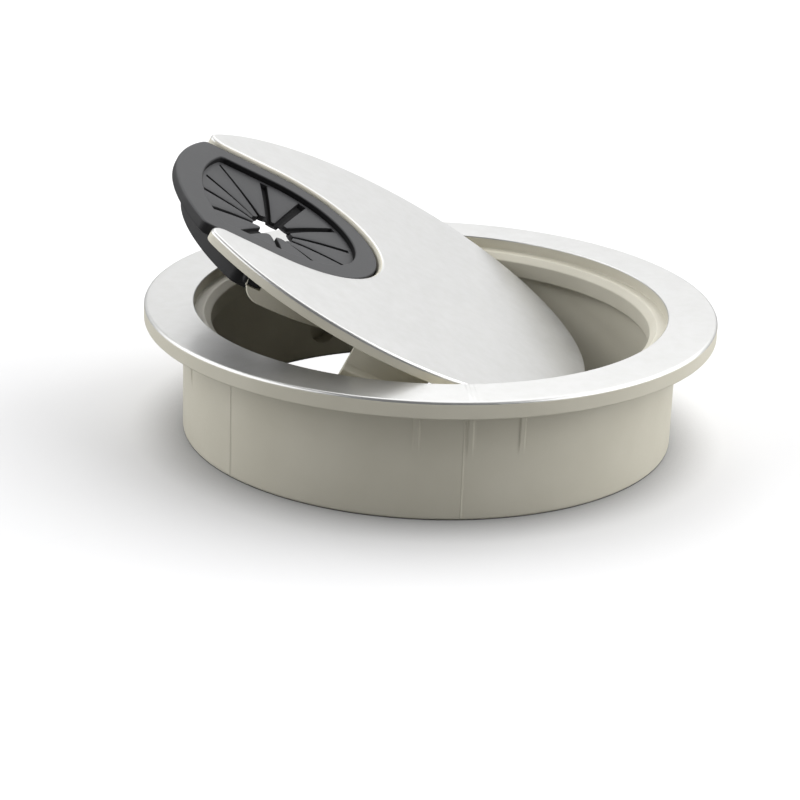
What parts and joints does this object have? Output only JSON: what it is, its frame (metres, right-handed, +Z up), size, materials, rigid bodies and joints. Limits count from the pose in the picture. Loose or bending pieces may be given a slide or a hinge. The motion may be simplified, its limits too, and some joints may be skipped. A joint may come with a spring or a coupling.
{
  "type": "desk cable grommet",
  "caption": "Round desk cable grommet: flanged liner ring, loose notched cover leaning in it, and a soft black insert split into bending flaps.",
  "frame": {"origin": "centre of the flange's underside, on the tube's axis, in the plane of the desk top", "axes": "+Z up along the tube's axis, out of the desk; -X towards the cover's raised side"},
  "size_m": [0.092, 0.092, 0.0432],
  "materials": {
    "silver_plastic": "satin silver-grey plastic",
    "black_rubber": "matt black soft rubber"
  },
  "bodies": {
    "liner": {"liner_ring": "silver_plastic"},
    "cover": {"cover": "silver_plastic"},
    "insert": {"insert_body": "black_rubber"},
    "flap_01": {"flap_01": "black_rubber"},
    "flap_02": {"flap_02": "black_rubber"},
    "flap_03": {"flap_03": "black_rubber"},
    "flap_04": {"flap_04": "black_rubber"},
    "flap_05": {"flap_05": "black_rubber"},
    "flap_06": {"flap_06": "black_rubber"},
    "flap_07": {"flap_07": "black_rubber"},
    "flap_08": {"flap_08": "black_rubber"},
    "flap_09": {"flap_09": "black_rubber"},
    "flap_10": {"flap_10": "black_rubber"},
    "flap_11": {"flap_11": "black_rubber"},
    "flap_12": {"flap_12": "black_rubber"}
  },
  "joints": [
    {"name": "cover_lift", "type": "slide", "parent": "liner", "child": "cover", "axis": [0, 0, 1], "range_m": [0, 0.045]},
    {"name": "insert_slide", "type": "slide", "parent": "cover", "child": "insert", "axis": [-0.8883, -0.1261, 0.4416], "range_m": [0, 0.038]},
    {"name": "flap_bend_01", "type": "hinge", "parent": "insert", "child": "flap_01", "pos_m": [-0.01531, 0.00432, 0.01046], "axis": [-0.398, 0.8887, 0.2278], "range_deg": [-50, 50], "stiffness_Nm_per_rad": 0.0003},
    {"name": "flap_bend_02", "type": "hinge", "parent": "insert", "child": "flap_02", "pos_m": [-0.01939, 0.00942, 0.01267], "axis": [-0.7449, 0.5408, 0.3908], "range_deg": [-50, 50], "stiffness_Nm_per_rad": 0.0003},
    {"name": "flap_bend_03", "type": "hinge", "parent": "insert", "child": "flap_03", "pos_m": [-0.02524, 0.01155, 0.01567], "axis": [-0.8918, 0.0551, 0.4491], "range_deg": [-50, 50], "stiffness_Nm_per_rad": 0.0003},
    {"name": "flap_bend_04", "type": "hinge", "parent": "insert", "child": "flap_04", "pos_m": [-0.03203, 0.01086, 0.01905], "axis": [-0.875, -0.2187, 0.432], "range_deg": [-50, 50], "stiffness_Nm_per_rad": 0.0003},
    {"name": "flap_bend_05", "type": "hinge", "parent": "insert", "child": "flap_05", "pos_m": [-0.03602, 0.00626, 0.02091], "axis": [-0.1748, -0.983, 0.0566], "range_deg": [-50, 50], "stiffness_Nm_per_rad": 0.0003},
    {"name": "flap_bend_06", "type": "hinge", "parent": "insert", "child": "flap_06", "pos_m": [-0.03662, -0.00106, 0.02098], "axis": [0.0365, -0.9981, -0.0499], "range_deg": [-50, 50], "stiffness_Nm_per_rad": 0.0003},
    {"name": "flap_bend_07", "type": "hinge", "parent": "insert", "child": "flap_07", "pos_m": [-0.03571, -0.00767, 0.02031], "axis": [0.2278, -0.9629, -0.1447], "range_deg": [-50, 50], "stiffness_Nm_per_rad": 0.0003},
    {"name": "flap_bend_08", "type": "hinge", "parent": "insert", "child": "flap_08", "pos_m": [-0.03258, -0.01364, 0.01855], "axis": [0.6194, -0.7109, -0.3332], "range_deg": [-50, 50], "stiffness_Nm_per_rad": 0.0003},
    {"name": "flap_bend_09", "type": "hinge", "parent": "insert", "child": "flap_09", "pos_m": [-0.027, -0.01577, 0.01569], "axis": [0.8876, 0.133, -0.441], "range_deg": [-50, 50], "stiffness_Nm_per_rad": 0.0003},
    {"name": "flap_bend_10", "type": "hinge", "parent": "insert", "child": "flap_10", "pos_m": [-0.02067, -0.0136, 0.01258], "axis": [0.8004, 0.4577, -0.3871], "range_deg": [-50, 50], "stiffness_Nm_per_rad": 0.0003},
    {"name": "flap_bend_11", "type": "hinge", "parent": "insert", "child": "flap_11", "pos_m": [-0.01605, -0.00897, 0.01041], "axis": [0.4942, 0.8407, -0.2213], "range_deg": [-50, 50], "stiffness_Nm_per_rad": 0.0003},
    {"name": "flap_bend_12", "type": "hinge", "parent": "insert", "child": "flap_12", "pos_m": [-0.01409, -0.00241, 0.00963], "axis": [0.0555, 0.9984, 0.0037], "range_deg": [-50, 50], "stiffness_Nm_per_rad": 0.0003}
  ]
}
